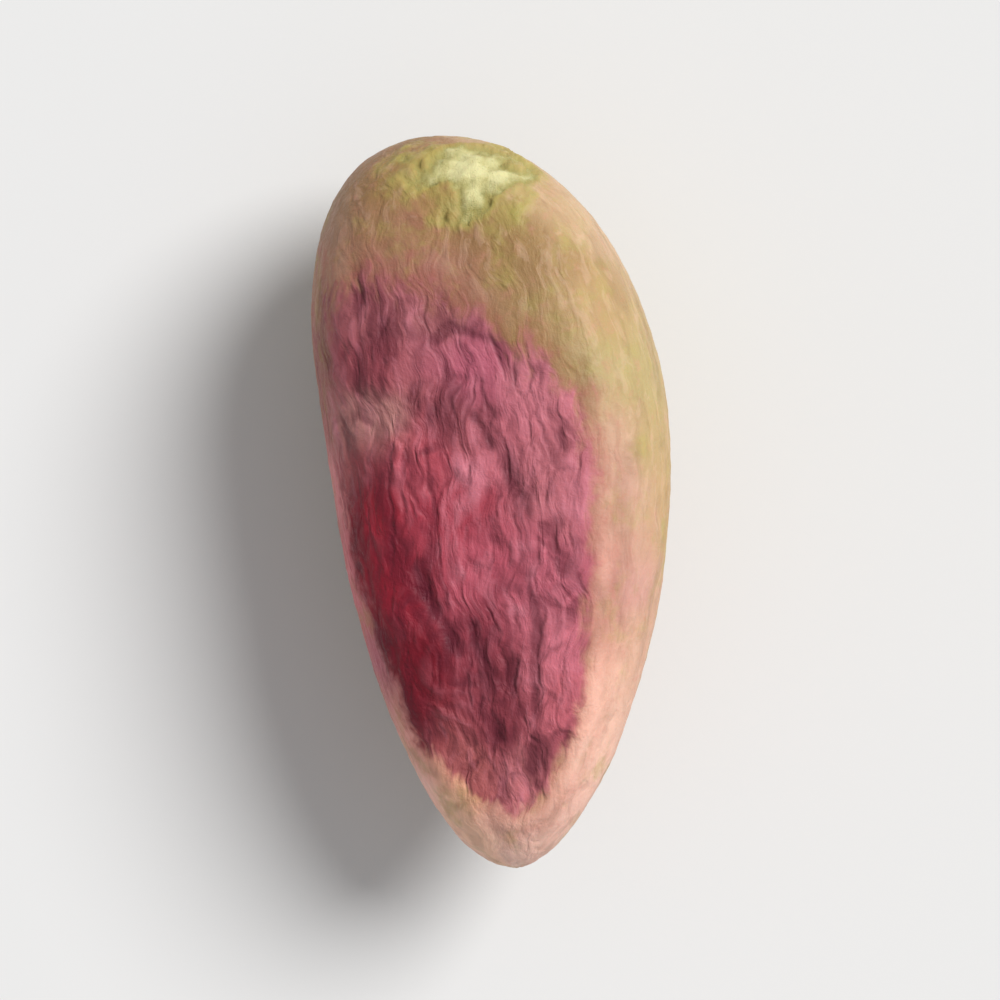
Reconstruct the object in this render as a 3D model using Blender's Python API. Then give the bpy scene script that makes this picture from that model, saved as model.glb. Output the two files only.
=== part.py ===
"""A shelled pistachio kernel lying on its side, at real size.

The kernel is one grown piece: the seed with its thin skin, and no shell. It lies along Y, with the
narrow tip at -Y and the blunt end at +Y, and rests on a small flat spot under its keel. Its broad face,
slightly dished, looks up and leans towards -X. The origin is the bottom centre of its box.
Run it with blender --background --python part.py, or from Blender's text editor.
"""

import math

import bmesh
import bpy

# Overall size, in metres
LENGTH = 0.0190
WIDTH = 0.0090
HEIGHT = 0.0083
REST_CUT = 0.00026  # depth of skin and keel that the flat spot takes off

# Outline along the length, where 0 is the tip and 1 the blunt end
WIDEST_AT = 0.60
SIDE_POWERS = (1.72, 2.62)  # fullness towards the tip and towards the blunt end
TOP_POWERS = (2.02, 2.90)
UNDER_POWERS = (1.60, 2.50)
TIP_ROUNDING = 0.57  # 1 gives a cone at the tip, and 0.5 a round end
TIP_LIFT = 0.0005  # how far the tip stands above the widest section's centre
TIP_LEAN = 0.00020  # how far the tip leans towards -X
BOW = 0.00030  # sideways bow of the long axis, towards +X
BLUNT_LEAN = 0.00092  # how far the blunt end leans towards -X
LEAN_FROM = 0.54

# Cross-section: an oval whose half axes are these shares of the half width
SECTION_POWER = 2.25
TOP_SHARE = 1.00
UNDER_SHARE = 0.98
# Flats pressed into the oval: degrees round from +X towards +Z, and share of the half width left
FLATS = {
    "broad_face": (101.0, 0.825),
    "right_flank": (-8.0, 0.965),
    "left_under": (214.0, 0.93),
    "right_under": (322.0, 0.945),
}
FLAT_SHARPNESS = 12.0  # higher gives tighter corners between the flats
FLATS_FADE = 0.16  # share of the length, at each end, over which the flats run out

# Relief on the skin
DISH_DEPTH = 0.00009
DISH_SPREAD = 24.0  # degrees
RIM_HEIGHT = 0.00005
RIM_AT = 58.0  # degrees
RIM_SPREAD = 8.0
KEEL_HEIGHT = 0.00016
KEEL_AT = 262.0
KEEL_SPREAD = 12.0
RELIEF_FADE = 0.34
WAVE_HEIGHT = 0.00006  # slow unevenness of growth
WAVES_ALONG = (9.0, 5.0)  # radians from tip to blunt end
WAVES_ROUND = (2, 3)  # whole waves round the section

# Mesh
SPHERE_SUBDIVISIONS = 5
TIP_SPREAD = 0.35  # share of even spacing along the length that keeps points from crowding at the tip
SHARP_ANGLE = math.radians(40)
SMALLEST = 1e-7  # a section smaller than this is a point
GLANCING = 0.05  # a flat has no say where the section turns this nearly edge-on to it

SKIN_COLOUR = (0.46, 0.22, 0.17, 1.0)
SKIN_ROUGHNESS = 0.55


def clear_scene():
    for obj in list(bpy.data.objects):
        bpy.data.objects.remove(obj, do_unlink=True)


def taper(along, powers):
    """Share of the widest section's size that is left at this place along the length."""
    tip_power, blunt_power = powers
    if along < WIDEST_AT:
        towards_tip = (WIDEST_AT - along) / WIDEST_AT
        return max(0.0, 1.0 - towards_tip**tip_power) ** TIP_ROUNDING
    towards_blunt = (along - WIDEST_AT) / (1.0 - WIDEST_AT)
    return math.sqrt(max(0.0, 1.0 - towards_blunt**blunt_power))


def smooth_step(value):
    value = min(1.0, max(0.0, value))
    return value * value * (3.0 - 2.0 * value)


def end_fade(along, share):
    """1 over the middle of the kernel, falling to 0 over this share of the length at both ends."""
    return smooth_step(along / share) * smooth_step((1.0 - along) / share)


def hump(angle, centre, spread):
    """A smooth bump of height 1 round the section, with all angles in degrees."""
    gap = (angle - centre + 180.0) % 360.0 - 180.0
    return math.exp(-((gap / spread) ** 2))


def oval_radius(angle, side, top, under):
    """Distance from the axis to the plain oval, before the flats are pressed in."""
    across = abs(math.cos(angle)) / side
    upright = abs(math.sin(angle)) / (top if math.sin(angle) > 0 else under)
    return (across**SECTION_POWER + upright**SECTION_POWER) ** (-1.0 / SECTION_POWER)


def relief(angle, along):
    """Height of the dish, the rim, the keel and the waves of growth above the plain section."""
    degrees = math.degrees(angle)
    height = RIM_HEIGHT * hump(degrees, RIM_AT, RIM_SPREAD)
    height += KEEL_HEIGHT * hump(degrees, KEEL_AT, KEEL_SPREAD)
    height -= DISH_DEPTH * hump(degrees, FLATS["broad_face"][0], DISH_SPREAD)
    first_wave = math.sin(WAVES_ALONG[0] * along + WAVES_ROUND[0] * angle)
    second_wave = math.cos(WAVES_ALONG[1] * along - WAVES_ROUND[1] * angle)
    height += WAVE_HEIGHT * first_wave * second_wave
    return height * end_fade(along, RELIEF_FADE)


def section_radius(angle, along):
    """Distance from the long axis to the skin, at an angle round the section and a place along it."""
    half = WIDTH / 2
    side = half * taper(along, SIDE_POWERS)
    top = half * TOP_SHARE * taper(along, TOP_POWERS)
    under = half * UNDER_SHARE * taper(along, UNDER_POWERS)
    if min(side, top, under) < SMALLEST:
        return 0.0
    fade = end_fade(along, FLATS_FADE)
    total = oval_radius(angle, side, top, under) ** -FLAT_SHARPNESS
    for flat_degrees, share in FLATS.values():
        flat_angle = math.radians(flat_degrees)
        facing = math.cos(angle - flat_angle)
        if facing > GLANCING:
            distance = oval_radius(flat_angle, side, top, under) * (1.0 - (1.0 - share) * fade)
            total += (distance / facing) ** -FLAT_SHARPNESS
    return total ** (-1.0 / FLAT_SHARPNESS) + relief(angle, along)


def axis_offset(along):
    """Sideways and upward shift of the section's centre."""
    lean = max(0.0, (along - LEAN_FROM) / (1.0 - LEAN_FROM))
    lift = max(0.0, 1.0 - along / WIDEST_AT)
    sideways = BOW * math.sin(math.pi * along) - BLUNT_LEAN * lean**2 - TIP_LEAN * lift**2
    return sideways, TIP_LIFT * lift**2


def skin_point(direction):
    """Where a point of the unit sphere, with its pole along the kernel, lands on the skin."""
    turn = math.acos(max(-1.0, min(1.0, -direction.z)))
    angle = math.atan2(direction.y, direction.x)
    evenly = TIP_SPREAD * math.cos(turn / 2) ** 2
    along = (1.0 - evenly) * (1.0 - math.cos(turn)) / 2 + evenly * turn / math.pi
    radius = section_radius(angle, along)
    sideways, up = axis_offset(along)
    return (
        sideways + radius * math.cos(angle),
        (along - 0.5) * LENGTH,
        up + radius * math.sin(angle),
    )


def fit_to_box(mesh, size):
    """Scales the shape to exactly this box and stands it on the origin by its bottom centre."""
    for axis, wanted in enumerate(size):
        values = [vert.co[axis] for vert in mesh.verts]
        low, high = min(values), max(values)
        start = 0.0 if axis == 2 else -wanted / 2
        for vert in mesh.verts:
            vert.co[axis] = start + (vert.co[axis] - low) * wanted / (high - low)


def cut_flat_spot(mesh):
    """Slices the keel flat, so that the kernel has a face to lie on."""
    parts = mesh.verts[:] + mesh.edges[:] + mesh.faces[:]
    cut = bmesh.ops.bisect_plane(
        mesh, geom=parts, dist=SMALLEST, plane_co=(0, 0, REST_CUT), plane_no=(0, 0, 1), clear_inner=True
    )
    edges = [item for item in cut["geom_cut"] if isinstance(item, bmesh.types.BMEdge)]
    bmesh.ops.edgeloop_fill(mesh, edges=edges)


def skin_material():
    material = bpy.data.materials.new("kernel_skin")
    material.use_nodes = True
    shader = material.node_tree.nodes["Principled BSDF"]
    shader.inputs["Base Color"].default_value = SKIN_COLOUR
    shader.inputs["Roughness"].default_value = SKIN_ROUGHNESS
    shader.inputs["Metallic"].default_value = 0.0
    material.diffuse_color = SKIN_COLOUR
    return material


def make_kernel():
    mesh = bmesh.new()
    bmesh.ops.create_icosphere(mesh, subdivisions=SPHERE_SUBDIVISIONS, radius=1.0)
    for vert in mesh.verts:
        vert.co = skin_point(vert.co.normalized())
    fit_to_box(mesh, (WIDTH, LENGTH, HEIGHT + REST_CUT))
    cut_flat_spot(mesh)
    fit_to_box(mesh, (WIDTH, LENGTH, HEIGHT))
    bmesh.ops.recalc_face_normals(mesh, faces=mesh.faces)

    data = bpy.data.meshes.new("pistachio_kernel")
    mesh.to_mesh(data)
    mesh.free()
    data.shade_smooth()
    data.set_sharp_from_angle(angle=SHARP_ANGLE)
    data.materials.append(skin_material())
    kernel = bpy.data.objects.new("pistachio_kernel", data)
    bpy.context.scene.collection.objects.link(kernel)


clear_scene()
make_kernel()
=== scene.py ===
import math

import bpy
import numpy as np
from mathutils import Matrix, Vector, noise
from mathutils.bvhtree import BVHTree


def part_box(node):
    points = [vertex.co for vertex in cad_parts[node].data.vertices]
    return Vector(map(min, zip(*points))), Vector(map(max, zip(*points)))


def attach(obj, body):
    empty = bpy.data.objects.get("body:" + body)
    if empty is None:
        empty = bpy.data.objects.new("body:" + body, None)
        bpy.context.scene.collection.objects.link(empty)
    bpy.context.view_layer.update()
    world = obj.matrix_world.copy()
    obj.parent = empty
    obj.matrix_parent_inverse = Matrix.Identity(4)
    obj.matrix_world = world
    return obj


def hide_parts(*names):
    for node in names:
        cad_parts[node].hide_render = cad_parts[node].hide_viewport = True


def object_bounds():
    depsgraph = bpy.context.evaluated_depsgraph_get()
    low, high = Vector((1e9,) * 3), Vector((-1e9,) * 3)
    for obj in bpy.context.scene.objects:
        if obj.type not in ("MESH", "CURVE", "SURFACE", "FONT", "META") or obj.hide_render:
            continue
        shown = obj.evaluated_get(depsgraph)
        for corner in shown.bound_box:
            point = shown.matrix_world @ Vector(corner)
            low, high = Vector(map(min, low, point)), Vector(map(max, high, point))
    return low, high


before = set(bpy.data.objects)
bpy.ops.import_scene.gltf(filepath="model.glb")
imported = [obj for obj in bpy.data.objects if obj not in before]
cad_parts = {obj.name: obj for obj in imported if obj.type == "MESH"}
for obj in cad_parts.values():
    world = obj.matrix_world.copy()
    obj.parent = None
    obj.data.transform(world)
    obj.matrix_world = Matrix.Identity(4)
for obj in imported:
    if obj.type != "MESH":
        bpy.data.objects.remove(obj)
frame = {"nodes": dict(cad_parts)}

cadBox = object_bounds()
mm = 0.001
print("frame loaded:", ", ".join(frame["nodes"]))


# these helpers work on arrays with one value or one row per skin point
def smoothStep(low, high, value):
    share = np.clip((value - low) / (high - low), 0.0, 1.0)
    return share * share * (3.0 - 2.0 * share)


def angleGap(degrees, centre):
    return (degrees - centre + 180.0) % 360.0 - 180.0


noiseGrain = {
    "softness": 0.9,
    "finer": 2.1,  # how much finer each octave is than the one before
    "foldSharpness": 3.2,
    # how far apart two seeds read the noise
    "lumpStep": np.array((17.3, 5.9, 11.1)),
    "foldStep": np.array((7.7, 13.1, 3.7)),
}


# fractal noise read at each point; size is the width of its largest lumps, in mm
def lumps(points, size, seed, octaves=3):
    shifted = points / size + seed * noiseGrain["lumpStep"]
    softness, finer = noiseGrain["softness"], noiseGrain["finer"]
    return np.array([noise.fractal(Vector(p), softness, finer, octaves) for p in shifted])


# ridged noise, for wrinkles: 1 on the sharp crests and 0 between them
def folds(points, size, seed):
    shifted = points / size + seed * noiseGrain["foldStep"]
    values = np.array([noise.noise(Vector(p)) for p in shifted])
    return 1.0 - np.minimum(1.0, np.abs(values) * noiseGrain["foldSharpness"])


# the skin is a fine quad mesh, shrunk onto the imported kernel
skinMesh = {
    "across": 104,  # quads on each of the four sides, round the kernel
    "lengthwise": 170,
    "axisStations": 41,
    "axisShare": 0.80,  # how far the inner axis that the rays start from reaches towards the ends
    "smoothing": 14,  # passes
    "pullIn": 0.52,  # share of the way to the middle of its neighbours that a point moves
    "pushOut": 0.54,
    "mapSide": 0.98,  # share of the unwrapped square that the four sides take up, and their height
    "mapHeight": 0.56,
    "mapEnd": 0.40,
    "mapMargin": 0.01,
    "stations": 120,  # slices that the width and the girth are read from
    "leastWidth": 0.2,  # mm, so that nothing is divided by zero at the ends
    "flowPower": 0.72,  # 1 keeps the flow at the ends as wide as in the middle
}


# the six grids of a box with shared edges: corner numbers, quads and their unwrapped corners
def boxGrid():
    across, lengthwise = skinMesh["across"], skinMesh["lengthwise"]
    counts = (across, lengthwise, across)
    numbers, corners, quads, unwrapped = {}, [], [], []

    def corner(i, j, k):
        key = (i, j, k)
        if key not in numbers:
            numbers[key] = len(corners)
            corners.append(key)
        return numbers[key]

    margin, mapHeight, mapEnd = skinMesh["mapMargin"], skinMesh["mapHeight"], skinMesh["mapEnd"]
    sideWidth = skinMesh["mapSide"] / 4
    # each side runs round the kernel: which corner of the box a step round it lands on
    rounds = (
        lambda i, j: (across, j, i),
        lambda i, j: (across - i, j, across),
        lambda i, j: (0, j, across - i),
        lambda i, j: (i, j, 0),
    )
    for side, place in enumerate(rounds):
        for i in range(across):
            for j in range(lengthwise):
                steps = ((i, j), (i, j + 1), (i + 1, j + 1), (i + 1, j))
                quads.append([corner(*place(a, b)) for a, b in steps])
                unwrapped.append([
                    (margin + sideWidth * (side + a / across), margin + mapHeight * b / lengthwise)
                    for a, b in steps
                ])
    endBase = 2 * margin + mapHeight
    for end, j in enumerate((0, lengthwise)):
        for i in range(across):
            for k in range(across):
                steps = [(i, k), (i + 1, k), (i + 1, k + 1), (i, k + 1)]
                if end:
                    steps.reverse()
                quads.append([corner(a, j, b) for a, b in steps])
                left = margin + end * (mapEnd + margin)
                unwrapped.append([
                    (left + mapEnd * a / across, endBase + mapEnd * b / across) for a, b in steps
                ])
    # equal angles between the grid lines, so that the quads stay even
    spread = np.array(corners, float) / np.array(counts) - 0.5
    directions = np.tan(spread * math.pi / 2)
    directions /= np.linalg.norm(directions, axis=1)[:, None]
    return directions, np.array(quads), np.array(unwrapped)


# middle of the kernel's section at each place along it
def readAxis(node):
    points = np.array([v.co for v in node.data.vertices])
    low, high = points.min(0), points.max(0)
    places = np.linspace(low[1], high[1], skinMesh["axisStations"])
    gap = places[1] - places[0]
    rows = []
    for y in places:
        near = points[np.abs(points[:, 1] - y) < gap]
        rows.append((near.min(0) + near.max(0)) / 2)
    rows = np.array(rows)
    return places, rows[:, 0], rows[:, 2]


def shrinkWrap(directions, node, axis):
    low, high = (np.array(c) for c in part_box(node.name))
    centre, half = (low + high) / 2, (high - low) / 2
    tree = BVHTree.FromPolygons(
        [v.co.copy() for v in node.data.vertices],
        [tuple(p.vertices) for p in node.data.polygons],
    )
    places, middleX, middleZ = axis
    ellipsoid = centre + directions * half
    startY = centre[1] + (ellipsoid[:, 1] - centre[1]) * skinMesh["axisShare"]
    startX = np.interp(startY, places, middleX)
    startZ = np.interp(startY, places, middleZ)
    starts = np.stack([startX, startY, startZ], 1)
    wrapped = np.empty_like(ellipsoid)
    for n, (start, target) in enumerate(zip(starts, ellipsoid)):
        hit = tree.ray_cast(Vector(start), Vector(target - start).normalized())
        wrapped[n] = hit[0]
    return wrapped


def neighbours(quads):
    ends = np.concatenate([quads[:, [a, (a + 1) % 4]] for a in range(4)])
    return np.unique(np.sort(ends, axis=1), axis=0)


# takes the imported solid's facets out; every second pass pushes back out, so that nothing shrinks
def relax(points, edges, passes):
    count = np.bincount(edges.ravel(), minlength=len(points))[:, None]
    for step in range(passes * 2):
        share = skinMesh["pullIn"] if step % 2 == 0 else -skinMesh["pushOut"]
        total = np.zeros_like(points)
        np.add.at(total, edges[:, 0], points[edges[:, 1]])
        np.add.at(total, edges[:, 1], points[edges[:, 0]])
        points = points + (total / count - points) * share
    return points


def normalsOf(points, quads):
    a, b, c, d = (points[quads[:, n]] for n in range(4))
    facing = np.cross(c - a, d - b)
    total = np.zeros_like(points)
    for n in range(4):
        np.add.at(total, quads[:, n], facing)
    return total / np.linalg.norm(total, axis=1)[:, None]


# where each skin point is, in the words that the zones use
# along: 0 at the tip, 1 at the blunt end
# degrees: round the section, 0 on the right, 90 on top, 180 on the left, 270 underneath
# across: 0 at the left outline and 1 at the right one, as seen from above
# girth: mean radius of the section there, in mm
def skinPlaces(points, normals, axis):
    low, high = points.min(0), points.max(0)
    places, middleX, middleZ = axis
    along = (points[:, 1] - low[1]) / (high[1] - low[1])
    offX = points[:, 0] - np.interp(points[:, 1], places, middleX)
    offZ = points[:, 2] - np.interp(points[:, 1], places, middleZ)
    degrees = np.degrees(np.arctan2(offZ, offX)) % 360.0
    stations = range(skinMesh["stations"])
    bins = np.linspace(0.0, 1.0, len(stations) + 1)
    number = np.clip(np.digitize(along, bins) - 1, 0, stations[-1])
    middle = (bins[1:] + bins[:-1]) / 2
    leftmost = np.array([points[number == n, 0].min() for n in stations])
    rightmost = np.array([points[number == n, 0].max() for n in stations])
    left = np.interp(along, middle, leftmost)
    width = np.maximum(np.interp(along, middle, rightmost) - left, skinMesh["leastWidth"] * mm)
    radius = np.hypot(offX, offZ)
    girth = np.array([radius[number == n].mean() for n in stations])
    widest = girth.max()
    # runs lengthwise and draws together a little towards both ends, for fibres and wrinkles
    spread = widest * (radius / widest) ** skinMesh["flowPower"] / mm
    turn = np.radians(degrees)
    flow = np.stack([spread * np.cos(turn), points[:, 1] / mm, spread * np.sin(turn)], 1)
    return {
        "points": points / mm,
        "normals": normals,
        "along": along,
        "degrees": degrees,
        "across": (points[:, 0] - left) / width,
        "width": width / mm,
        "girth": np.interp(along, middle, girth) / mm,
        "length": (high[1] - low[1]) / mm,
        "flow": flow,
    }


# distance over the skin, in mm, to a line through points of (along, degrees)
def lineGap(skin, line):
    best = np.full(len(skin["along"]), np.inf)
    for (alongA, degreesA), (alongB, degreesB) in zip(line, line[1:]):
        turnScale = np.radians(1.0) * skin["girth"]
        fromY = (skin["along"] - alongA) * skin["length"]
        fromX = angleGap(skin["degrees"], degreesA) * turnScale
        runY = (alongB - alongA) * skin["length"]
        runX = (degreesB - degreesA) * turnScale
        share = np.clip((fromX * runX + fromY * runY) / (runX ** 2 + runY ** 2), 0.0, 1.0)
        best = np.minimum(best, np.hypot(fromX - share * runX, fromY - share * runY))
    return best


purpleFace = {
    # places along, and the bare rim left of the face there, in mm
    "leftRim": ((0.10, 0.72), (0.16, 0.52), (0.20, 0.45), (0.30, 0.36), (0.42, 0.28), (0.64, 0.25),
                (0.76, 0.55)),
    # places along, and the right edge there, as a share of the width seen from above
    "rightEdge": ((0.12, 0.70), (0.20, 0.75), (0.50, 0.757), (0.64, 0.735)),
    "topLeft": 0.830,  # how far along it reaches at the left outline, and how much less at the right one
    "topFall": 0.33,
    "topCurve": 1.89,
    "topSlant": 0.9,  # the top edge runs askew, so lengths along the kernel overstate the gap to it
    "tipEnd": 0.078,  # how far along it starts at the tip, and how round and where it is lowest there
    "tipRound": 0.44,
    "tipMiddle": 0.52,
    "horizon": 0.06,  # how far below level the skin may face
    "horizonWidth": 4.0,  # mm for the skin to turn from level to upright
    "corner": 2.6,  # higher gives tighter corners
    "ragged": 0.34,  # mm at the top edge
    "raggedWidth": 1.1,
    "raggedLength": 0.35,  # lower gives longer tongues
    "neat": 0.42,  # share of that along the right edge and round the tip
    "raggedFrom": (0.40, 0.66),  # places along where the neat edge turns into the ragged one
    "raggedSlant": 0.25,  # how much sooner that is at the right outline than at the left one
    "sunk": 0.07,  # mm
}
rimLip = {
    "height": 0.09,
    "width": 0.30,
    "gap": 0.32,  # mm from the face's edge to the top of the lip
    "from": 0.03,
    "fadeFrom": 0.22,
    "to": 0.66,
    "leftShare": 0.32,  # height on the left, as a share of the height on the right
    "leftWidth": 0.22,
    "leftGap": 0.22,
    "leftFrom": 0.02,
    "leftFadeFrom": 0.40,
    "leftTo": 0.60,
    "evenness": 0.85,
    "unevenness": 0.5,
}
# the worn spot at the blunt end; its place is in mm from the bottom centre of the kernel's box
scuff = {
    "centre": (-0.05, 8.45, 6.75),
    "size": (1.60, 1.08, 1.27),
    "solid": 0.9,  # how much of it follows that oval, and how much is ragged
    "ragged": 0.6,
    "depth": 0.09,
    "lip": 0.04,
    "lipGap": 0.10,
    "lipWidth": 0.08,
    "crumbs": 0.10,
    "crumbWidth": 0.45,
}
# lines on the skin are points of (along, degrees)
seams = {
    "lines": (
        ((0.005, 345.0), (0.12, 340.0), (0.3, 343.0), (0.5, 338.0), (0.7, 341.0), (0.86, 336.0),
         (0.99, 335.0)),
        ((0.005, 190.0), (0.14, 196.0), (0.32, 193.0), (0.52, 192.0), (0.72, 196.0), (0.88, 192.0),
         (0.99, 192.0)),
    ),
    "wander": 0.12,
    "depth": 0.055,
    "wide": 0.12,
    "shoulder": 0.03,
    "shoulderGap": 2.3,  # in seam widths, as the next one is
    "shoulderWide": 1.3,
    "leastWorn": 0.45,  # share of the depth left where the seam is weakest
}
# furrows that run down the purple face, from the arch at its top towards the tip
creases = {
    "lines": (
        ((0.64, 121.0), (0.70, 116.0), (0.735, 102.0), (0.71, 86.0), (0.64, 81.0), (0.59, 85.0),
         (0.54, 88.0), (0.47, 83.0), (0.39, 82.0), (0.33, 80.0), (0.23, 80.0), (0.14, 81.0)),
        ((0.79, 133.0), (0.72, 135.0), (0.66, 137.0)),
        ((0.75, 126.0), (0.69, 128.0), (0.65, 131.0)),
        ((0.65, 113.0), (0.62, 115.0), (0.585, 119.0)),
        ((0.61, 98.0), (0.57, 93.0)),
        ((0.42, 124.0), (0.36, 121.0), (0.30, 114.0)),
        ((0.33, 106.0), (0.26, 103.0), (0.18, 99.0)),
        ((0.28, 90.0), (0.21, 92.0), (0.15, 90.0)),
    ),
    "depth": 0.065,
    "wide": 0.16,
    "wander": 0.13,
    "faintest": 0.35,
}


# value at each place along, between the points of a line
def readLine(along, line):
    return np.interp(along, *zip(*line))


# the raised lip just outside the face, along its right edge, round the tip and faintly on the left
def layLip(skin, inside):
    along, across = skin["along"], skin["across"]
    lip = np.exp(-((inside + rimLip["gap"]) / rimLip["width"]) ** 2)
    lip *= smoothStep(rimLip["from"], rimLip["from"] + 0.05, along)
    lip *= 1.0 - smoothStep(rimLip["fadeFrom"], rimLip["to"], along)
    lip *= smoothStep(0.40, 0.75, across + 0.25 * smoothStep(0.16, 0.05, along))
    leftLip = np.exp(-((inside + rimLip["leftGap"]) / rimLip["leftWidth"]) ** 2)
    leftLip *= smoothStep(rimLip["leftFrom"], rimLip["leftFrom"] + 0.07, along)
    leftLip *= smoothStep(0.45, 0.20, across)
    leftLip *= 1.0 - smoothStep(rimLip["leftFadeFrom"], rimLip["leftTo"], along)
    lip = np.maximum(lip, rimLip["leftShare"] * leftLip)
    return lip * (rimLip["evenness"] + rimLip["unevenness"] * lumps(skin["points"], 1.6, 5, 2))


# the purple face, its lip, the scuff at the blunt end, the seams and the furrows
def layZones(skin):
    zones = {}
    along, across, width = skin["along"], skin["across"], skin["width"]
    length = skin["length"]
    face = purpleFace
    tipCurve = face["tipEnd"] + face["tipRound"] * (across - face["tipMiddle"]) ** 2
    topCurve = face["topLeft"] - face["topFall"] * np.maximum(across, 0.0) ** face["topCurve"]
    # mm inside each side of the face; the soft minimum rounds its corners
    sides = np.stack([
        across * width - readLine(along, face["leftRim"]),
        (readLine(along, face["rightEdge"]) - across) * width,
        (topCurve - along) * length * face["topSlant"],
        (along - tipCurve) * length,
        (skin["normals"][:, 2] + face["horizon"]) * face["horizonWidth"],
    ])
    inside = -np.log(np.exp(-sides * face["corner"]).sum(0)) / face["corner"]
    wander = lumps(skin["flow"] * (1.0, face["raggedLength"], 1.0), face["raggedWidth"], 3, 4)
    atTop = smoothStep(*face["raggedFrom"], along - face["raggedSlant"] * (0.5 - across))
    zones["fray"] = face["neat"] + (1.0 - face["neat"]) * atTop
    zones["inside"] = inside
    zones["purple"] = inside + wander * face["ragged"] * zones["fray"]
    zones["lip"] = layLip(skin, inside)

    ragged = lumps(skin["points"], 0.7, 8, 4)
    reach = np.linalg.norm((skin["points"] - scuff["centre"]) / scuff["size"], axis=1)
    zones["scuff"] = (1.0 - reach) * scuff["solid"] + ragged * scuff["ragged"]

    wavy = lumps(skin["points"], 2.4, 21, 2) * seams["wander"]
    zones["seam"] = np.minimum(*(np.abs(lineGap(skin, line) + wavy) for line in seams["lines"]))
    wander = lumps(skin["points"], 1.1, 22, 3) * creases["wander"]
    patches = smoothStep(-0.45, 0.15, lumps(skin["flow"] * (1.0, 0.5, 1.0), 1.2, 23, 2))
    furrows = np.stack([
        np.exp(-((lineGap(skin, line) + wander) / creases["wide"]) ** 2) for line in creases["lines"]
    ])
    zones["furrow"] = furrows.max(0) * (creases["faintest"] + (1.0 - creases["faintest"]) * patches)
    return zones


# everything that stands up from the smooth kernel or is pressed into it, in mm
relief = {
    "undulation": 0.060,  # slow unevenness of the dried seed
    "undulationWidth": 4.6,
    "wrinkle": 0.090,  # long wrinkles of the purple face
    "skinWrinkle": 0.026,  # the same on the rest of the skin
    "wrinkleWidth": 0.95,
    "wrinkleLength": 0.26,  # lower gives longer wrinkles
    "sway": 1.1,
    "swayWidth": 2.4,
    "level": 0.40,  # height of the crests on average, where 0 is the deepest hollow and 1 the top
    "broadShare": 0.55,
    "longShare": 0.42,
    "shortShare": 0.30,
    "foldLevel": 0.22,
    "calmLevel": 0.48,  # near the face's top the crests draw together towards this height
    "calmShare": 0.62,
    "calmFrom": (0.60, 0.72),  # places along
    "fine": 0.016,
    "fineWidth": 0.42,
    "endPucker": 0.022,
    "puckerWidth": 1.3,
}


# 0 in the hollows between the wrinkles and 1 on their crests
def wrinkleCrests(skin):
    points = skin["points"]
    sway = np.stack([
        lumps(points, relief["swayWidth"], seed, octaves) for seed, octaves in ((31, 3), (33, 2), (32, 3))
    ], 1)
    wrinkleSpace = (skin["flow"] + sway * relief["sway"]) * (1.0, relief["wrinkleLength"], 1.0)
    long = folds(wrinkleSpace, relief["wrinkleWidth"], 41)
    short = folds(wrinkleSpace * (1.0, 1.5, 1.0), relief["wrinkleWidth"] * 0.5, 42)
    broad = lumps(wrinkleSpace, 1.3, 44, 2)
    strength = np.clip(0.62 + 0.9 * lumps(points, 1.8, 43, 2), 0.15, 1.2)
    folded = relief["longShare"] * long + relief["shortShare"] * short - relief["foldLevel"]
    crest = np.clip(relief["level"] + relief["broadShare"] * broad + folded * strength, 0.0, 1.0)
    calm = relief["calmShare"] * smoothStep(*relief["calmFrom"], skin["along"])
    return crest + (relief["calmLevel"] - crest) * calm


def raiseRelief(skin, zones):
    points, along = skin["points"], skin["along"]
    purple = smoothStep(-0.15, 0.35, zones["purple"])
    covered = 1.0 - smoothStep(0.0, 0.12, zones["scuff"])
    crest = wrinkleCrests(skin)
    wrinkle = relief["wrinkle"] * purple + relief["skinWrinkle"] * (1.0 - purple)
    height = lumps(points, relief["undulationWidth"], 51, 2) * relief["undulation"]
    height += (crest - relief["level"]) * wrinkle * covered
    height += lumps(points, relief["fineWidth"], 52, 3) * relief["fine"]
    ends = np.maximum(smoothStep(0.12, 0.0, along), smoothStep(0.93, 1.0, along))
    pucker = folds(skin["flow"] * (1.0, 0.1, 1.0), relief["puckerWidth"], 53)
    height -= pucker * relief["endPucker"] * ends * covered
    height -= purpleFace["sunk"] * smoothStep(-0.1, 0.8, zones["inside"])
    height += rimLip["height"] * zones["lip"]

    zones["furrow"] = zones["furrow"] * purple
    height -= creases["depth"] * zones["furrow"]
    height -= scuff["depth"] * smoothStep(-0.02, 0.10, zones["scuff"])
    height += scuff["lip"] * np.exp(-((zones["scuff"] + scuff["lipGap"]) / scuff["lipWidth"]) ** 2)
    crumbs = lumps(points, scuff["crumbWidth"], 54, 3) * scuff["crumbs"]
    height += smoothStep(0.0, 0.2, zones["scuff"]) * crumbs
    worn = smoothStep(-0.45, 0.35, lumps(points, 3.0, 55, 2))
    worn = seams["leastWorn"] + (1.0 - seams["leastWorn"]) * worn
    wide = seams["wide"]
    seamLine = np.exp(-(zones["seam"] / wide) ** 2) * worn
    fromShoulder = (zones["seam"] - seams["shoulderGap"] * wide) / (seams["shoulderWide"] * wide)
    height += seams["shoulder"] * np.exp(-fromShoulder ** 2) * worn - seams["depth"] * seamLine

    zones["crest"] = crest
    zones["seamLine"] = seamLine
    return height


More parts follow.
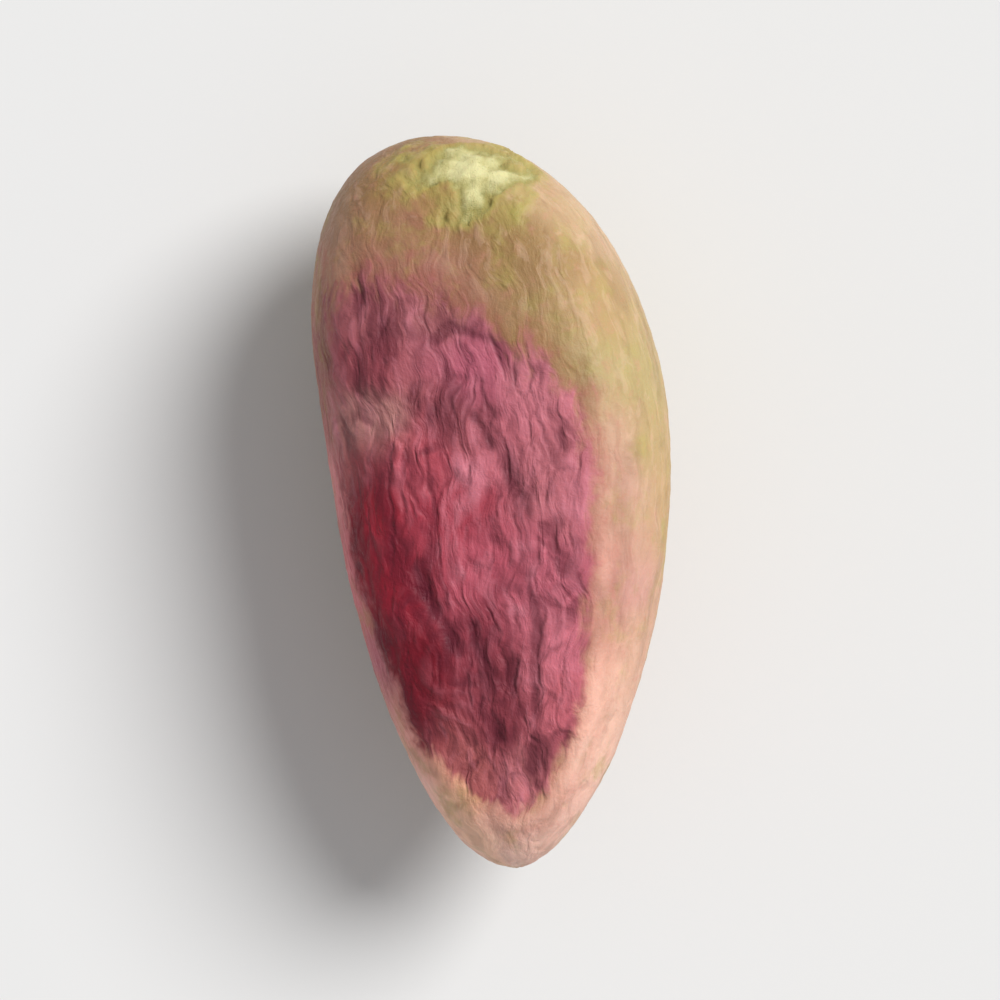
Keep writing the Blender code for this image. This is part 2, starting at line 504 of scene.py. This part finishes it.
# colours laid over the skin between a few chosen spots, each with its along, degrees and colour
skinTints = {
    "blunt end left": (0.92, 130.0, (0.295, 0.170, 0.056)),
    "blunt end": (0.90, 96.0, (0.355, 0.178, 0.074)),
    "beside the scar": (0.93, 46.0, (0.52, 0.345, 0.190)),
    "right of the end": (0.85, 28.0, (0.58, 0.400, 0.240)),
    "above the face": (0.835, 104.0, (0.39, 0.165, 0.130)),
    "above the face left": (0.835, 127.0, (0.38, 0.180, 0.135)),
    "upper shoulder": (0.82, 66.0, (0.31, 0.180, 0.062)),
    "right shoulder": (0.76, 54.0, (0.47, 0.298, 0.138)),
    "green shoulder": (0.67, 42.0, (0.46, 0.360, 0.155)),
    "flank": (0.55, 38.0, (0.48, 0.345, 0.150)),
    "beside the face": (0.52, 55.0, (0.63, 0.355, 0.272)),
    "flank edge": (0.48, 14.0, (0.54, 0.350, 0.150)),
    "pink flank": (0.39, 52.0, (0.62, 0.310, 0.260)),
    "low flank": (0.30, 34.0, (0.63, 0.362, 0.242)),
    # the pale cream of the right rim is partly its own colour and partly a painted highlight on the lit
    # ridge
    "low rim": (0.19, 48.0, (0.87, 0.525, 0.400)),
    "rim at the tip": (0.09, 56.0, (0.84, 0.490, 0.390)),
    "tip": (0.045, 84.0, (0.90, 0.560, 0.460)),
    # from the tip up the left outline these colours are partly the rim's own paler skin and partly a
    # painted rim light
    "tip left": (0.08, 142.0, (0.98, 0.590, 0.410)),
    "left rim at the tip": (0.17, 154.0, (0.98, 0.530, 0.470)),
    "left rim low": (0.29, 157.0, (0.58, 0.200, 0.270)),
    "left rim": (0.42, 159.0, (0.80, 0.255, 0.325)),
    "left rim middle": (0.54, 160.0, (0.92, 0.390, 0.440)),
    "left rim high": (0.68, 156.0, (0.42, 0.195, 0.175)),
    "left shoulder": (0.80, 150.0, (0.50, 0.300, 0.200)),
    "left side": (0.50, 186.0, (0.46, 0.260, 0.190)),
    "left side low": (0.26, 184.0, (0.60, 0.360, 0.270)),
    "left side high": (0.68, 184.0, (0.42, 0.255, 0.165)),
    "left back": (0.80, 205.0, (0.38, 0.255, 0.130)),
    "under left": (0.45, 232.0, (0.42, 0.320, 0.190)),
    "under": (0.60, 268.0, (0.40, 0.335, 0.220)),
    "under tip": (0.20, 265.0, (0.52, 0.340, 0.230)),
    "under right": (0.40, 305.0, (0.45, 0.320, 0.195)),
    "under blunt": (0.88, 280.0, (0.37, 0.270, 0.125)),
    "right side": (0.72, 335.0, (0.46, 0.340, 0.150)),
    "right side low": (0.30, 340.0, (0.58, 0.350, 0.240)),
}
purpleTints = {
    "top left": (0.79, 128.0, (0.37, 0.105, 0.120)),
    "top middle": (0.76, 106.0, (0.36, 0.110, 0.120)),
    "left streaks": (0.70, 134.0, (0.33, 0.067, 0.087)),
    "inside the arch": (0.69, 100.0, (0.46, 0.105, 0.157)),
    "bright bump": (0.67, 74.0, (0.62, 0.190, 0.230)),
    "pale streak": (0.62, 135.0, (0.50, 0.220, 0.200)),
    "dark strokes": (0.61, 112.0, (0.34, 0.078, 0.098)),
    "bright left": (0.57, 123.0, (0.46, 0.070, 0.100)),
    "middle": (0.55, 99.0, (0.60, 0.160, 0.200)),
    "pink column": (0.51, 75.0, (0.52, 0.150, 0.180)),
    "crimson": (0.49, 135.0, (0.31, 0.011, 0.027)),
    "crimson middle": (0.48, 112.0, (0.38, 0.040, 0.066)),
    "crimson low": (0.42, 136.0, (0.28, 0.009, 0.025)),
    "low middle": (0.40, 98.0, (0.50, 0.090, 0.130)),
    "violet right": (0.39, 75.0, (0.52, 0.120, 0.165)),
    "mauve": (0.32, 106.0, (0.29, 0.040, 0.062)),
    "pink low": (0.30, 74.0, (0.66, 0.175, 0.225)),
    "crimson streak": (0.29, 134.0, (0.185, 0.004, 0.015)),
    "dark mauve": (0.23, 98.0, (0.25, 0.038, 0.055)),
    "low right": (0.21, 70.0, (0.58, 0.135, 0.170)),
    "low": (0.13, 86.0, (0.56, 0.165, 0.180)),
    "low left": (0.12, 124.0, (0.40, 0.100, 0.100)),
}
# how far a spot's colour reaches, and how softly it meets the next one
skinReach = {"along": 0.085, "degrees": 20.0, "soft": 0.55}
purpleReach = {"along": 0.075, "degrees": 18.0, "soft": 0.15}
# how unevenly the colours run into each other
tintWander = {"along": 0.04, "degrees": 12.0, "width": 2.6, "falloff": 2.2}


def layTints(skin, tints, reach, seed):
    width = tintWander["width"]
    wanderAlong = lumps(skin["points"], width, seed, 3) * tintWander["along"]
    wanderTurn = lumps(skin["points"], width, seed + 1, 3) * tintWander["degrees"]
    total = np.zeros((len(skin["along"]), 3))
    weights = np.zeros(len(skin["along"]))
    for along, degrees, colour in tints.values():
        lengthwise = (skin["along"] + wanderAlong - along) / reach["along"]
        turn = angleGap(skin["degrees"] + wanderTurn, degrees) / reach["degrees"]
        weight = 1.0 / (reach["soft"] + lengthwise ** 2 + turn ** 2) ** tintWander["falloff"]
        total += weight[:, None] * np.array(colour)
        weights += weight
    return total / weights[:, None]


def storeValue(mesh, name, values):
    attribute = mesh.attributes.new(name, "FLOAT", "POINT")
    attribute.data.foreach_set("value", values.astype(np.float32))


def storeVector(mesh, name, values):
    attribute = mesh.attributes.new(name, "FLOAT_VECTOR", "POINT")
    attribute.data.foreach_set("vector", values.astype(np.float32).ravel())


def storeColour(mesh, name, values):
    attribute = mesh.attributes.new(name, "FLOAT_COLOR", "POINT")
    withAlpha = np.concatenate([values, np.ones((len(values), 1))], 1)
    attribute.data.foreach_set("color", withAlpha.astype(np.float32).ravel())


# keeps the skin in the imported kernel's box and its flat spot on the floor
def seat(points, normals, height):
    low, high = (np.array(c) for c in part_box("pistachio_kernel"))
    calmBelow, fullAbove = 0.02 * mm, 0.30 * mm  # the flat spot itself gets no relief
    settled = smoothStep(low[2] + calmBelow, low[2] + fullAbove, points[:, 2])
    moved = points + normals * (height * settled * mm)[:, None]
    return np.clip(moved, low, high)


def buildKernel():
    node = frame["nodes"]["pistachio_kernel"]
    axis = readAxis(node)
    directions, quads, unwrapped = boxGrid()
    edges = neighbours(quads)
    points = relax(shrinkWrap(directions, node, axis), edges, skinMesh["smoothing"])
    normals = normalsOf(points, quads)
    outward = ((points - points.mean(0)) * normals).sum(1).mean() > 0
    if not outward:
        quads, unwrapped, normals = quads[:, ::-1], unwrapped[:, ::-1], -normals
    print("kernel skin wrapped:", len(points), "points,", len(quads), "quads")

    skin = skinPlaces(points, normals, axis)
    zones = layZones(skin)
    height = raiseRelief(skin, zones)
    points = seat(points, normals, height)
    print("wrinkles and scars raised, from %.3f to %.3f mm" % (height.min(), height.max()))

    mesh = bpy.data.meshes.new("pistachioKernel")
    mesh.from_pydata(points.tolist(), [], quads.tolist())
    layer = mesh.uv_layers.new(name="OFBake")
    layer.data.foreach_set("uv", unwrapped.astype(np.float32).ravel())
    storeColour(mesh, "skinTint", layTints(skin, skinTints, skinReach, 61))
    storeColour(mesh, "purpleTint", layTints(skin, purpleTints, purpleReach, 71))
    for name in ("purple", "fray", "lip", "scuff", "crest", "furrow", "seamLine"):
        storeValue(mesh, name, zones[name])
    storeVector(mesh, "flow", skin["flow"])
    mesh.shade_smooth()
    mesh.validate()

    kernel = bpy.data.objects.new("pistachioKernel", mesh)
    bpy.context.scene.collection.objects.link(kernel)
    mesh.materials.append(kernelSkinMaterial())
    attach(kernel, "root")
    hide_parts("pistachio_kernel")
    print("zones and tints laid")


def addNode(tree, kind, **settings):
    node = tree.nodes.new(kind)
    for name, value in settings.items():
        setattr(node, name, value)
    return node


def plug(tree, value, socket):
    if isinstance(value, bpy.types.NodeSocket):
        tree.links.new(value, socket)
    else:
        socket.default_value = value


def maths(tree, operation, first, second):
    node = addNode(tree, "ShaderNodeMath", operation=operation)
    plug(tree, first, node.inputs[0])
    plug(tree, second, node.inputs[1])
    return node.outputs[0]


def between(tree, value, low, high, toLow=0.0, toHigh=1.0):
    node = addNode(tree, "ShaderNodeMapRange", interpolation_type="SMOOTHSTEP")
    plug(tree, value, node.inputs["Value"])
    plug(tree, low, node.inputs["From Min"])
    plug(tree, high, node.inputs["From Max"])
    plug(tree, toLow, node.inputs["To Min"])
    plug(tree, toHigh, node.inputs["To Max"])
    return node.outputs["Result"]


def blendColour(tree, share, first, second, mode="MIX"):
    node = addNode(tree, "ShaderNodeMix", data_type="RGBA", blend_type=mode)
    plug(tree, share, node.inputs[0])
    plug(tree, first, node.inputs[6])
    plug(tree, second, node.inputs[7])
    return node.outputs[2]


def stretched(tree, vector, scale):
    node = addNode(tree, "ShaderNodeMapping", vector_type="POINT")
    plug(tree, vector, node.inputs["Vector"])
    plug(tree, scale, node.inputs["Scale"])
    return node.outputs[0]


def noiseOf(tree, vector, scale, detail=3.0, roughness=0.55, distortion=0.0):
    node = addNode(tree, "ShaderNodeTexNoise")
    plug(tree, vector, node.inputs["Vector"])
    plug(tree, scale, node.inputs["Scale"])
    plug(tree, detail, node.inputs["Detail"])
    plug(tree, roughness, node.inputs["Roughness"])
    plug(tree, distortion, node.inputs["Distortion"])
    return node.outputs["Fac"]


# lays a colour over another where a value passes start, and its whole share from full on
def layOver(tree, below, colour, share, value, start, full):
    return blendColour(tree, between(tree, value, start, full, 0.0, share), below, colour)


def stored(tree, name, output="Fac"):
    return addNode(tree, "ShaderNodeAttribute", attribute_name=name).outputs[output]


def newGroup(name, inputs, outputs):
    tree = bpy.data.node_groups.new(name, "ShaderNodeTree")
    for label, kind, value in inputs:
        socket = tree.interface.new_socket(name=label, in_out="INPUT", socket_type=kind)
        if value is not None:
            socket.default_value = value
    for label, kind in outputs:
        tree.interface.new_socket(name=label, in_out="OUTPUT", socket_type=kind)
    return tree, tree.nodes.new("NodeGroupInput").outputs, tree.nodes.new("NodeGroupOutput").inputs


def placeGroup(tree, group, **values):
    node = addNode(tree, "ShaderNodeGroup", node_tree=group)
    for name, value in values.items():
        plug(tree, value, node.inputs[name])
    return node.outputs


# fibres of the seed coat: wavy streaks that run lengthwise, as 0 to 1 values
def fibreGroup():
    tree, given, made = newGroup(
        "seedCoatFibres",
        [("Flow", "NodeSocketVector", None), ("Fineness", "NodeSocketFloat", 1.0),
         ("Length", "NodeSocketFloat", 0.22), ("Sway", "NodeSocketFloat", 0.6)],
        [("Streaks", "NodeSocketFloat"), ("Threads", "NodeSocketFloat"), ("Creases", "NodeSocketFloat")],
    )
    wind = addNode(tree, "ShaderNodeTexNoise")
    plug(tree, given["Flow"], wind.inputs["Vector"])
    wind.inputs["Scale"].default_value = 0.55
    centred = addNode(tree, "ShaderNodeVectorMath", operation="SUBTRACT")
    plug(tree, wind.outputs["Color"], centred.inputs[0])
    centred.inputs[1].default_value = (0.5, 0.5, 0.5)
    scaled = addNode(tree, "ShaderNodeVectorMath", operation="SCALE")
    plug(tree, centred.outputs[0], scaled.inputs[0])
    plug(tree, given["Sway"], scaled.inputs["Scale"])
    swayed = addNode(tree, "ShaderNodeVectorMath", operation="ADD")
    plug(tree, given["Flow"], swayed.inputs[0])
    plug(tree, scaled.outputs[0], swayed.inputs[1])
    squeeze = addNode(tree, "ShaderNodeCombineXYZ")
    squeeze.inputs[0].default_value = 1.0
    plug(tree, given["Length"], squeeze.inputs[1])
    squeeze.inputs[2].default_value = 1.0
    thin = stretched(tree, swayed.outputs[0], squeeze.outputs[0])
    streaks = noiseOf(tree, thin, given["Fineness"], 3.0, 0.5, 0.3)
    threads = noiseOf(tree, thin, maths(tree, "MULTIPLY", given["Fineness"], 2.3), 3.0, 0.55, 0.6)
    plug(tree, between(tree, streaks, 0.30, 0.70), made["Streaks"])
    plug(tree, between(tree, threads, 0.32, 0.68), made["Threads"])
    cells = addNode(tree, "ShaderNodeTexVoronoi", feature="DISTANCE_TO_EDGE")
    plug(tree, thin, cells.inputs["Vector"])
    plug(tree, maths(tree, "MULTIPLY", given["Fineness"], 1.3), cells.inputs["Scale"])
    plug(tree, between(tree, cells.outputs["Distance"], 0.13, 0.0), made["Creases"])
    return tree


# dry papery surface: soft mottling, fine grain and small specks
def paperGroup():
    tree, given, made = newGroup(
        "papery",
        [("Place", "NodeSocketVector", None), ("Size", "NodeSocketFloat", 1.0)],
        [("Mottle", "NodeSocketFloat"), ("Grain", "NodeSocketFloat"), ("Specks", "NodeSocketFloat")],
    )
    mottleScale = maths(tree, "DIVIDE", 0.9, given["Size"])
    plug(tree, noiseOf(tree, given["Place"], mottleScale, 5.0, 0.6), made["Mottle"])
    grainScale = maths(tree, "DIVIDE", 9.0, given["Size"])
    plug(tree, noiseOf(tree, given["Place"], grainScale, 4.0, 0.65), made["Grain"])
    dots = addNode(tree, "ShaderNodeTexVoronoi", feature="F1")
    plug(tree, given["Place"], dots.inputs["Vector"])
    plug(tree, maths(tree, "DIVIDE", 3.2, given["Size"]), dots.inputs["Scale"])
    plug(tree, between(tree, dots.outputs["Distance"], 0.20, 0.08), made["Specks"])
    return tree


kernelSkin = {
    "roughness": (0.46, 0.68),  # least and most, over the grain
    "specular": 0.30,
    "subsurface": 0.10,
    "subsurfaceRadius": (1.0, 0.40, 0.25),
    "subsurfaceDepth": 0.00030,
    "bumpDepth": 0.000045,
    "purpleLight": (0.72, 0.24, 0.30, 1.0),
    "purpleDark": (0.090, 0.006, 0.018, 1.0),
    "flesh": (0.40, 0.35, 0.11, 1.0),
    "fleshPale": (0.80, 0.745, 0.375, 1.0),
    "fleshGreen": (0.27, 0.28, 0.055, 1.0),
    # cream of the raised lip, its paler skin with a painted highlight on that lit ridge; also laid over
    # the pale threads
    "lipCream": (0.96, 0.63, 0.50, 1.0),
    # dark brown laid over the streaks and seams, and as painted shade in the netting's creases
    "streakAndShadeBrown": (0.20, 0.095, 0.045, 1.0),
    "green": (0.42, 0.37, 0.09, 1.0),
    "blush": (0.66, 0.27, 0.21, 1.0),
    "wideFibres": {"Fineness": 1.25, "Length": 0.26, "Sway": 1.2},
    "fineFibres": {"Fineness": 3.6, "Length": 0.20, "Sway": 1.0},
    "crumbSize": 0.35,
    # how strongly each of these shows on the tan and olive skin, 0 to 1
    "greenMottles": 0.40,
    "blushMottles": 0.25,
    "brownStreaks": 0.22,
    "fineBrownStreaks": 0.12,
    "skinNettingShade": 0.09,
    "creamThreads": 0.12,
    "creamLipAndHighlight": 0.85,
    # the same on the purple face: the light on the crests is a painted highlight, and the dark in the
    # hollows, furrows and netting is painted shade
    "paintedCrestHighlight": 0.60,
    "hollowShadeAndDarkStreaks": 0.48,
    "furrowShade": 0.58,
    "fineLightStreaks": 0.22,
    "fineDarkStreaks": 0.26,
    "purpleNettingShade": 0.30,
    "crimsonGlow": 0.18,  # share of the painted crest highlight and the light streaks that the deep crimson gets
    # round the purple face, where it fades out
    "frayThreads": 0.50,
    "frayMottles": 0.9,
    "fadeWidth": 0.45,
    "blushRound": 0.50,
    # round and inside the scuff, and along the seams
    "scuffFray": 0.6,
    "greenRound": 0.55,
    "greenSpecks": 0.5,
    "brownSeam": 0.45,
    # heights in the bump, as shares of its depth
    "grainLift": 0.45,
    "streakLift": 0.35,
    "threadLift": 0.55,
    "crumbLift": 1.1,
    "nettingSink": (0.20, 0.60),  # on the plain skin and on the purple face
}


def skinTextures(tree):
    look = kernelSkin
    flow = stored(tree, "flow", "Vector")
    place = stretched(tree, addNode(tree, "ShaderNodeTexCoord").outputs["Object"], (1.0 / mm,) * 3)
    fibres, paper = fibreGroup(), paperGroup()
    wide = placeGroup(tree, fibres, Flow=flow, **look["wideFibres"])
    papery = placeGroup(tree, paper, Place=place, Size=1.0)
    # the netting of fine wrinkles comes and goes
    patches = between(tree, papery["Mottle"], 0.36, 0.60)
    return {
        "wide": wide,
        "fine": placeGroup(tree, fibres, Flow=flow, **look["fineFibres"]),
        "papery": papery,
        "crumbly": placeGroup(tree, paper, Place=place, Size=look["crumbSize"]),
        "netting": maths(tree, "MULTIPLY", wide["Creases"], patches),
    }


def oliveSkin(tree, textures):
    look = kernelSkin
    papery, crumbly = textures["papery"], textures["crumbly"]
    wide, fine = textures["wide"], textures["fine"]
    brown, cream = look["streakAndShadeBrown"], look["lipCream"]
    skin = stored(tree, "skinTint", "Color")
    skin = layOver(tree, skin, look["green"], look["greenMottles"], papery["Mottle"], 0.48, 0.68)
    skin = layOver(tree, skin, look["blush"], look["blushMottles"], crumbly["Mottle"], 0.52, 0.72)
    skin = layOver(tree, skin, brown, look["brownStreaks"], wide["Streaks"], 0.45, 0.0)
    skin = layOver(tree, skin, brown, look["fineBrownStreaks"], fine["Streaks"], 0.40, 0.0)
    # painted shade: the skin darkens along the netting's sunken creases
    netting = maths(tree, "MULTIPLY", textures["netting"], look["skinNettingShade"])
    skin = blendColour(tree, netting, skin, brown)
    skin = layOver(tree, skin, cream, look["creamThreads"], wide["Threads"], 0.60, 1.0)
    # cream over the raised lip: its paler skin and a painted highlight on the lit ridge
    return layOver(tree, skin, cream, look["creamLipAndHighlight"], stored(tree, "lip"), 0.15, 0.95)


def purpleSkin(tree, textures):
    look = kernelSkin
    streaks, fineStreaks = textures["wide"]["Streaks"], textures["fine"]["Streaks"]
    paleTone, darkTone = look["purpleLight"], look["purpleDark"]
    crest = stored(tree, "crest")
    purple = stored(tree, "purpleTint", "Color")
    brightness = addNode(tree, "ShaderNodeRGBToBW")
    plug(tree, purple, brightness.inputs[0])
    glow = between(tree, brightness.outputs[0], 0.05, 0.17, look["crimsonGlow"], 1.0)
    # painted highlight: paler purple on the wrinkle crests, weaker on the deep crimson
    light = maths(tree, "MULTIPLY", between(tree, crest, 0.40, 0.85), between(tree, streaks, 0.35, 0.9))
    light = maths(tree, "MULTIPLY", light, glow)
    # painted shade in the hollows between the wrinkles, together with the coat's dark streaks
    dark = maths(tree, "MAXIMUM", between(tree, crest, 0.36, 0.08), between(tree, streaks, 0.40, 0.0))
    purple = blendColour(tree, maths(tree, "MULTIPLY", light, look["paintedCrestHighlight"]), purple, paleTone)
    purple = blendColour(tree, maths(tree, "MULTIPLY", dark, look["hollowShadeAndDarkStreaks"]), purple, darkTone)
    # painted shade: darker purple down the sunken furrows
    purple = layOver(tree, purple, darkTone, look["furrowShade"], stored(tree, "furrow"), 0.05, 0.9)
    fineLight = between(tree, fineStreaks, 0.60, 1.0, 0.0, look["fineLightStreaks"])
    purple = blendColour(tree, maths(tree, "MULTIPLY", fineLight, glow), purple, paleTone)
    purple = layOver(tree, purple, darkTone, look["fineDarkStreaks"], fineStreaks, 0.38, 0.0)
    # painted shade: darker purple along the netting's sunken creases
    netting = maths(tree, "MULTIPLY", textures["netting"], look["purpleNettingShade"])
    return blendColour(tree, netting, purple, darkTone)


# the purple fades out over streaks and mottles, more sharply along the right edge and round the tip
def fadePurple(tree, textures, skin, purple):
    look = kernelSkin
    threads = maths(tree, "SUBTRACT", textures["wide"]["Threads"], 0.5)
    mottles = maths(tree, "SUBTRACT", textures["crumbly"]["Mottle"], 0.5)
    frayed = maths(tree, "MULTIPLY", threads, look["frayThreads"])
    mottled = maths(tree, "MULTIPLY", mottles, look["frayMottles"])
    fray = stored(tree, "fray")
    unevenness = maths(tree, "MULTIPLY", maths(tree, "ADD", frayed, mottled), fray)
    edge = maths(tree, "ADD", stored(tree, "purple"), unevenness)
    blush = between(tree, edge, -1.3, 0.1, 0.0, look["blushRound"])
    blushed = blendColour(tree, blush, skin, look["blush"], "MULTIPLY")
    softness = maths(tree, "MULTIPLY", fray, look["fadeWidth"])
    start = maths(tree, "MULTIPLY", softness, -1.0)
    return blendColour(tree, between(tree, edge, start, softness), blushed, purple)


# 1 where the skin is gone and the bare seed shows
def scuffMask(tree, textures):
    mottles = maths(tree, "SUBTRACT", textures["crumbly"]["Mottle"], 0.5)
    roughEdge = maths(tree, "MULTIPLY", mottles, kernelSkin["scuffFray"])
    return between(tree, maths(tree, "ADD", stored(tree, "scuff"), roughEdge), -0.16, 0.30)


def bareSeed(tree, textures):
    look, crumbly = kernelSkin, textures["crumbly"]
    mottles = maths(tree, "SUBTRACT", crumbly["Mottle"], 0.5)
    core = maths(tree, "ADD", stored(tree, "scuff"), mottles)
    pale = blendColour(tree, between(tree, core, 0.05, 0.85), look["flesh"], look["fleshPale"])
    return layOver(tree, pale, look["fleshGreen"], look["greenSpecks"], crumbly["Specks"], 0.2, 1.0)


# papery grain and fibres, netting that sinks in, and crumbs where the seed is bare
def surfaceLift(tree, textures, scuffed):
    look = kernelSkin
    covered = maths(tree, "SUBTRACT", 1.0, scuffed)
    wrinkled = between(tree, stored(tree, "purple"), -0.4, 0.4, 0.45, 1.0)
    streaks = maths(tree, "MULTIPLY", textures["fine"]["Streaks"], covered)
    threads = maths(tree, "MULTIPLY", textures["wide"]["Threads"], wrinkled)
    crumbs = maths(tree, "MULTIPLY", textures["crumbly"]["Grain"], scuffed)
    grain = maths(tree, "MULTIPLY", textures["papery"]["Grain"], look["grainLift"])
    streaks = maths(tree, "MULTIPLY", streaks, look["streakLift"])
    threads = maths(tree, "MULTIPLY", threads, look["threadLift"])
    crumbs = maths(tree, "MULTIPLY", crumbs, look["crumbLift"])
    lift = maths(tree, "ADD", maths(tree, "ADD", grain, streaks), maths(tree, "ADD", threads, crumbs))
    sink = between(tree, wrinkled, 0.45, 1.0, *look["nettingSink"])
    return maths(tree, "SUBTRACT", lift, maths(tree, "MULTIPLY", textures["netting"], sink))


def kernelSkinMaterial():
    look = kernelSkin
    material = bpy.data.materials.new("kernelSkin")
    material.use_nodes = True
    tree = material.node_tree
    shader = tree.nodes["Principled BSDF"]
    textures = skinTextures(tree)
    scuffed = scuffMask(tree, textures)

    colour = fadePurple(tree, textures, oliveSkin(tree, textures), purpleSkin(tree, textures))
    colour = layOver(tree, colour, look["green"], look["greenRound"], stored(tree, "scuff"), -0.55, 0.0)
    colour = blendColour(tree, scuffed, colour, bareSeed(tree, textures))
    seamLine = stored(tree, "seamLine")
    colour = layOver(tree, colour, look["streakAndShadeBrown"], look["brownSeam"], seamLine, 0.2, 1.0)

    bump = addNode(tree, "ShaderNodeBump")
    bump.inputs["Strength"].default_value = 1.0
    bump.inputs["Distance"].default_value = look["bumpDepth"]
    plug(tree, surfaceLift(tree, textures, scuffed), bump.inputs["Height"])

    plug(tree, colour, shader.inputs["Base Color"])
    roughness = between(tree, textures["papery"]["Grain"], 0.3, 0.7, *look["roughness"])
    plug(tree, roughness, shader.inputs["Roughness"])
    plug(tree, bump.outputs[0], shader.inputs["Normal"])
    shader.inputs["Subsurface Weight"].default_value = look["subsurface"]
    shader.inputs["Subsurface Radius"].default_value = look["subsurfaceRadius"]
    shader.inputs["Subsurface Scale"].default_value = look["subsurfaceDepth"]
    shader.inputs["Specular IOR Level"].default_value = look["specular"]
    return material


studio = {
    "floorHalf": 1.0,
    "floorDrop": 0.02,  # mm below the kernel, so that the two faces don't coincide
    "floorColour": (0.76, 0.755, 0.745, 1.0),
    "floorClouds": 1.02,  # brightness of its faint lighter clouds
    "cloudScale": 40.0,
    "floorRoughness": 0.85,
    "floorSpecular": 0.2,
    "sky": (0.93, 0.94, 0.96, 1.0),
    "skyStrength": 0.40,
    "backdrop": (0.84, 0.835, 0.82, 1.0),
    "keyAngle": 32.0,  # softness of the main light, in degrees
    "keyStrength": 3.2,
    "keyFrom": (0.78, 0.46, 0.92),
    "lens": 180.0,
    "sensor": 36.0,
    "clip": (0.05, 40.0),  # in distances from the camera to the kernel
    "frameShare": 0.74,  # how much of the picture's height the kernel takes up
    "aimHeight": 0.6,  # share of the kernel's height that the distance is measured from
    "lean": 4.6,  # degrees that the kernel leans in the picture
}


def floorMaterial():
    material = bpy.data.materials.new("paleFloor")
    material.use_nodes = True
    tree = material.node_tree
    shader = tree.nodes["Principled BSDF"]
    place = addNode(tree, "ShaderNodeTexCoord").outputs["Object"]
    clouds = noiseOf(tree, place, studio["cloudScale"])
    lighter = [min(1.0, c * studio["floorClouds"]) for c in studio["floorColour"]]
    plug(tree, blendColour(tree, clouds, studio["floorColour"], lighter), shader.inputs["Base Color"])
    shader.inputs["Roughness"].default_value = studio["floorRoughness"]
    shader.inputs["Specular IOR Level"].default_value = studio["floorSpecular"]
    return material


def layFloor():
    half = studio["floorHalf"]
    mesh = bpy.data.meshes.new("floor")
    corners = [(-half, -half, 0), (half, -half, 0), (half, half, 0), (-half, half, 0)]
    mesh.from_pydata(corners, [], [(0, 1, 2, 3)])
    floor = bpy.data.objects.new("floor", mesh)
    floor.location.z = -studio["floorDrop"] * mm
    bpy.context.scene.collection.objects.link(floor)
    mesh.materials.append(floorMaterial())


def hangLights():
    world = bpy.data.worlds.new("studio")
    bpy.context.scene.world = world
    world.use_nodes = True
    tree = world.node_tree
    background = tree.nodes["Background"]
    background.inputs["Color"].default_value = studio["sky"]
    background.inputs["Strength"].default_value = studio["skyStrength"]
    # seen directly, the surroundings are as pale as the floor
    backdrop = addNode(tree, "ShaderNodeBackground")
    backdrop.inputs["Color"].default_value = studio["backdrop"]
    chooser = addNode(tree, "ShaderNodeMixShader")
    plug(tree, addNode(tree, "ShaderNodeLightPath").outputs["Is Camera Ray"], chooser.inputs[0])
    plug(tree, background.outputs[0], chooser.inputs[1])
    plug(tree, backdrop.outputs[0], chooser.inputs[2])
    plug(tree, chooser.outputs[0], tree.nodes["World Output"].inputs["Surface"])
    key = bpy.data.lights.new("key", "SUN")
    key.angle = math.radians(studio["keyAngle"])
    key.energy = studio["keyStrength"]
    lamp = bpy.data.objects.new("key", key)
    lamp.rotation_euler = Vector(studio["keyFrom"]).to_track_quat("Z", "Y").to_euler()
    bpy.context.scene.collection.objects.link(lamp)


def setCamera():
    low, high = cadBox
    camera = bpy.data.cameras.new("camera")
    camera.lens = studio["lens"]
    camera.sensor_width = studio["sensor"]
    pictureHeight = (high.y - low.y) / studio["frameShare"]
    distance = pictureHeight * camera.lens / camera.sensor_width
    camera.clip_start = distance * studio["clip"][0]
    camera.clip_end = distance * studio["clip"][1]
    eye = bpy.data.objects.new("camera", camera)
    middle = (low + high) / 2
    eye.location = (middle.x, middle.y, high.z * studio["aimHeight"] + distance)
    eye.rotation_euler = (0.0, 0.0, -math.radians(studio["lean"]))
    bpy.context.scene.collection.objects.link(eye)
    bpy.context.scene.camera = eye


buildKernel()
layFloor()
hangLights()
setCamera()
bpy.context.scene.view_settings.view_transform = "Standard"
print("floor, light and camera set")
